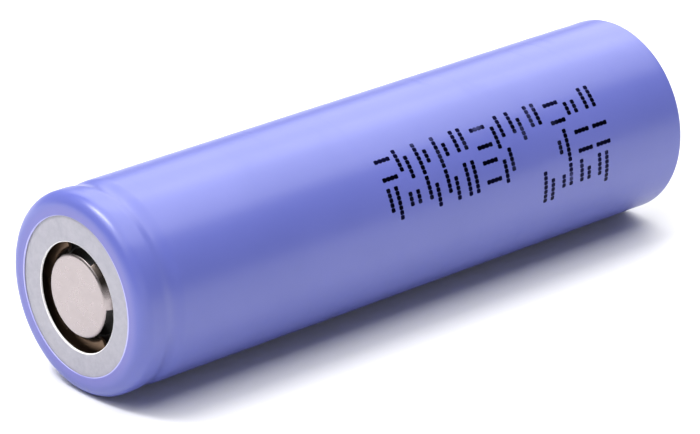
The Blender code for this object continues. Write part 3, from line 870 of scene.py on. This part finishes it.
def rod_cutter(radius, centre):
    """A rod along X, long enough to go through a plate."""
    shape = bmesh.new()
    turn = Matrix.Rotation(math.pi / 2, 4, "Y")
    size = {"radius1": radius * MM, "radius2": radius * MM, "depth": 4 * MM, "segments": 40}
    bmesh.ops.create_cone(shape, cap_ends=True, matrix=Matrix.Translation(centre) @ turn, **size)
    return finish_mesh("cutter", shape)


def slot_cutter(degrees, x):
    """The slot that a tab passes through, tangent to the roll."""
    inner, outer = TAB_SLOT_RADII
    shape = bmesh.new()
    turn = Matrix.Rotation(-math.radians(degrees), 4, "X")
    size = Matrix.Diagonal((4 * MM, TAB_SLOT_WIDTH * MM, (outer - inner) * MM, 1))
    place_in = Matrix.Translation((x * MM, 0, (inner + outer) / 2 * MM))
    bmesh.ops.create_cube(shape, size=1, matrix=turn @ place_in @ size)
    return finish_mesh("cutter", shape)


def make_plates():
    spacer = flat_ring("spacer_ring", "vent_insulator", 5.2, edge=0.10)
    install(spacer, "insulator_polymer", pale_polymer(), "vent_insulator")
    sheet = aluminium("aluminium_sheet", (0.80, 0.81, 0.82), 0.30)
    holes = [(0.65, 4.2, 180 - 60 * i) for i in range(6)]
    plate = flat_ring("gas_plate", "vented_plate", 1.9, holes=holes)
    install(plate, "aluminium_sheet", sheet, "vented_plate")
    disc = flat_ring("contact_disc", "weld_plate", 0, edge=0.03)
    install(disc, "aluminium_sheet", weld_marks(), "weld_plate")


# ---------------------------------------------------------------- roll


def wound_sheet(name, node, inner, outer, turns):
    """A sheet wound from one turn count to another, its faces at these shares of the pitch."""
    low, high, _ = span(node)
    count = round((turns[1] - turns[0]) * ROLL_STEPS)
    sections = []
    for i in range(count + 1):
        turn = turns[0] + (turns[1] - turns[0]) * i / count
        base = ROLL_START + ROLL_PITCH * turn
        corners = ((inner, low), (outer, low), (outer, high), (inner, high))
        sections.append([place(base + ROLL_PITCH * share, x, 180 - 360 * turn) for share, x in corners])
    return wound(name, sections)


def make_roll():
    separator = separator_film()
    anode = coated("anode_coating", (0.045, 0.046, 0.050), 0.62, (0.60, 0.29, 0.16), "anode_sheet")
    cathode = coated("cathode_coating", (0.022, 0.021, 0.024), 0.50, (0.78, 0.79, 0.80), "cathode_sheet")
    for node, slot, material, faces, turns in (
        ("inner_separator", "separator_film", separator, (0.00, 0.146), (0, ROLL_TURNS)),
        ("anode_sheet", "anode_coating", anode, (0.184, 0.447), (0.125, ROLL_TURNS - 0.125)),
        ("outer_separator", "separator_film", separator, (0.485, 0.631), (0, ROLL_TURNS)),
        ("cathode_sheet", "cathode_coating", cathode, (0.670, 0.961), (0.375, ROLL_TURNS - 0.5)),
    ):
        sheet = wound_sheet(node + "_wound", node, *faces, turns)
        install(sheet, slot, material, node)


def softened(name, node, width):
    """A copy of a CAD node's shape with its edges rounded."""
    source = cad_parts[node]
    mesh = bpy.data.meshes.new(name)
    shape = bmesh.new()
    shape.from_mesh(source.data)
    shape.transform(source.matrix_world)
    bmesh.ops.remove_doubles(shape, verts=shape.verts, dist=0.0005 * MM)
    shape.to_mesh(mesh)
    shape.free()
    piece = bpy.data.objects.new(name, mesh)
    bpy.context.scene.collection.objects.link(piece)
    limits = {"limit_method": "ANGLE", "angle_limit": math.radians(40)}
    modified(piece, "BEVEL", width=width * MM, segments=2, **limits)
    return smooth(piece)


def make_tabs_and_tapes():
    strip = metal("tab_aluminium", (0.80, 0.81, 0.82), 0.34, (300, 1600, 1600), spots=0.08)
    nickel = metal("nickel_strip", (0.62, 0.59, 0.54), 0.30, (200, 1800, 1800), spots=0.10)
    amber = tape_film("tab_tape", (0.58, 0.26, 0.035), 0.26)
    green = tape_film("closing_tape", (0.045, 0.30, 0.15), 0.30)
    for name, node, slot, material in (
        ("positive_strip", "positive_tab", "aluminium_sheet", strip),
        ("negative_strip", "negative_tab", "nickel_strip", nickel),
        ("positive_strip_tape", "positive_tab_tape", "tab_tape", amber),
        ("negative_strip_tape", "negative_tab_tape", "tab_tape", amber),
        ("roll_tape", "closing_tape", "closing_tape", green),
    ):
        install(softened(name, node, 0.015), slot, material, node)


def make_discs():
    fibre = disc_fibre()
    for name, node, tab_degrees in (
        ("upper_disc", "top_insulator", POSITIVE_TAB),
        ("lower_disc", "bottom_insulator", NEGATIVE_TAB),
    ):
        holes = [(0.8, 3.2, tab_degrees - 60 - 120 * i) for i in range(3)]
        disc = flat_ring(name, node, 1.3, edge=0.03, holes=holes, slot_degrees=tab_degrees)
        install(disc, "disc_fibre", fibre, node)


def make_pin():
    """A tube rolled from sheet, with a slit along it and narrowed ends."""
    low, high, _ = span("centre_pin")
    radius = 1.5
    wall = 0.25
    slit = 14  # degrees
    taper = 0.7
    narrowing = 0.2
    steps = 72
    outline = []
    for i in range(9):
        share = i / 8
        outline.append((low + taper * share, -narrowing * (1 - math.sin(math.pi / 2 * share))))
    outline += [(high - (x - low), change) for x, change in reversed(outline)]
    sections = []
    for step in range(steps + 1):
        degrees = slit / 2 + (360 - slit) * step / steps
        outer = [place(radius + change, x, 180 - degrees) for x, change in outline]
        inner = [place(radius - wall + change, x, 180 - degrees) for x, change in reversed(outline)]
        sections.append(outer + inner)
    steel = metal("pin_steel", (0.62, 0.61, 0.60), 0.34, (90, 2200, 2200), spots=0.14)
    install(wound("slit_pin", sections), "can_steel", steel, "centre_pin")


# ---------------------------------------------------------------- studio


def make_floor():
    size = FLOOR_SPAN * abs(BACK) * MM
    z = -RADIUS * MM
    corners = [(-size, -size, z), (size, -size, z), (size, size, z), (-size, size, z)]
    mesh = bpy.data.meshes.new("floor")
    mesh.from_pydata(corners, [], [(0, 1, 2, 3)])
    floor = bpy.data.objects.new("floor", mesh)
    bpy.context.scene.collection.objects.link(floor)
    s = Surface("floor", (0.81, 0.81, 0.81), 0.6)
    s.set("Specular IOR Level", 0.2)
    mesh.materials.append(s.material)


def add_light(name, direction, distance, size, power):
    """A soft box this far from the cell in a direction, facing it."""
    data = bpy.data.lights.new(name, "AREA")
    data.shape = "RECTANGLE"
    data.size, data.size_y = size
    data.energy = power
    light = bpy.data.objects.new(name, data)
    away = Vector(direction).normalized()
    along = (Vector((1, 0, 0)) - away * away.x).normalized()
    turn = Matrix((along, away.cross(along), away)).transposed()
    light.matrix_world = Matrix.Translation(away * distance) @ turn.to_4x4()
    bpy.context.scene.collection.objects.link(light)


def make_world():
    """Even light from all round, weaker from one side as where a room goes on behind the camera."""
    world = bpy.data.worlds.new("studio")
    bpy.context.scene.world = world
    world.use_nodes = True
    tree = world.node_tree
    coords = tree.nodes.new("ShaderNodeTexCoord")
    facing = tree.nodes.new("ShaderNodeVectorMath")
    facing.operation = "DOT_PRODUCT"
    facing.inputs[1].default_value = Vector(DIM_SIDE).normalized()
    level = tree.nodes.new("ShaderNodeMapRange")
    level.inputs["From Min"].default_value = DIM_FROM
    level.inputs["From Max"].default_value = DIM_FULL
    level.inputs["To Min"].default_value = ROOM_LIGHT
    level.inputs["To Max"].default_value = DIM_LIGHT
    background = tree.nodes["Background"]
    background.inputs["Color"].default_value = (1.0, 1.0, 1.0, 1.0)
    tree.links.new(coords.outputs["Generated"], facing.inputs[0])
    tree.links.new(facing.outputs["Value"], level.inputs["Value"])
    tree.links.new(level.outputs[0], background.inputs["Strength"])


def make_camera():
    data = bpy.data.cameras.new("camera")
    data.lens = CAMERA_LENS
    data.sensor_width = SENSOR_WIDTH
    data.clip_start = 0.01
    camera = bpy.data.objects.new("camera", data)
    azimuth = math.radians(CAMERA_AZIMUTH)
    elevation = math.radians(CAMERA_ELEVATION)
    level = Vector((math.sin(azimuth), -math.cos(azimuth), 0)) * math.cos(elevation)
    away = level + Vector((0, 0, math.sin(elevation)))
    camera.location = Vector(CAMERA_TARGET) + away * CAMERA_DISTANCE
    camera.rotation_euler = away.to_track_quat("Z", "Y").to_euler()
    bpy.context.scene.collection.objects.link(camera)
    bpy.context.scene.camera = camera


make_sleeve()
make_washer()
make_cap()
make_can()
make_gasket()
make_ptc()
make_vent()
make_plates()
make_roll()
make_tabs_and_tapes()
make_discs()
make_pin()
make_floor()
make_world()
for light in LIGHTS:
    add_light(*light)
make_camera()
bpy.context.scene.view_settings.view_transform = "Standard"
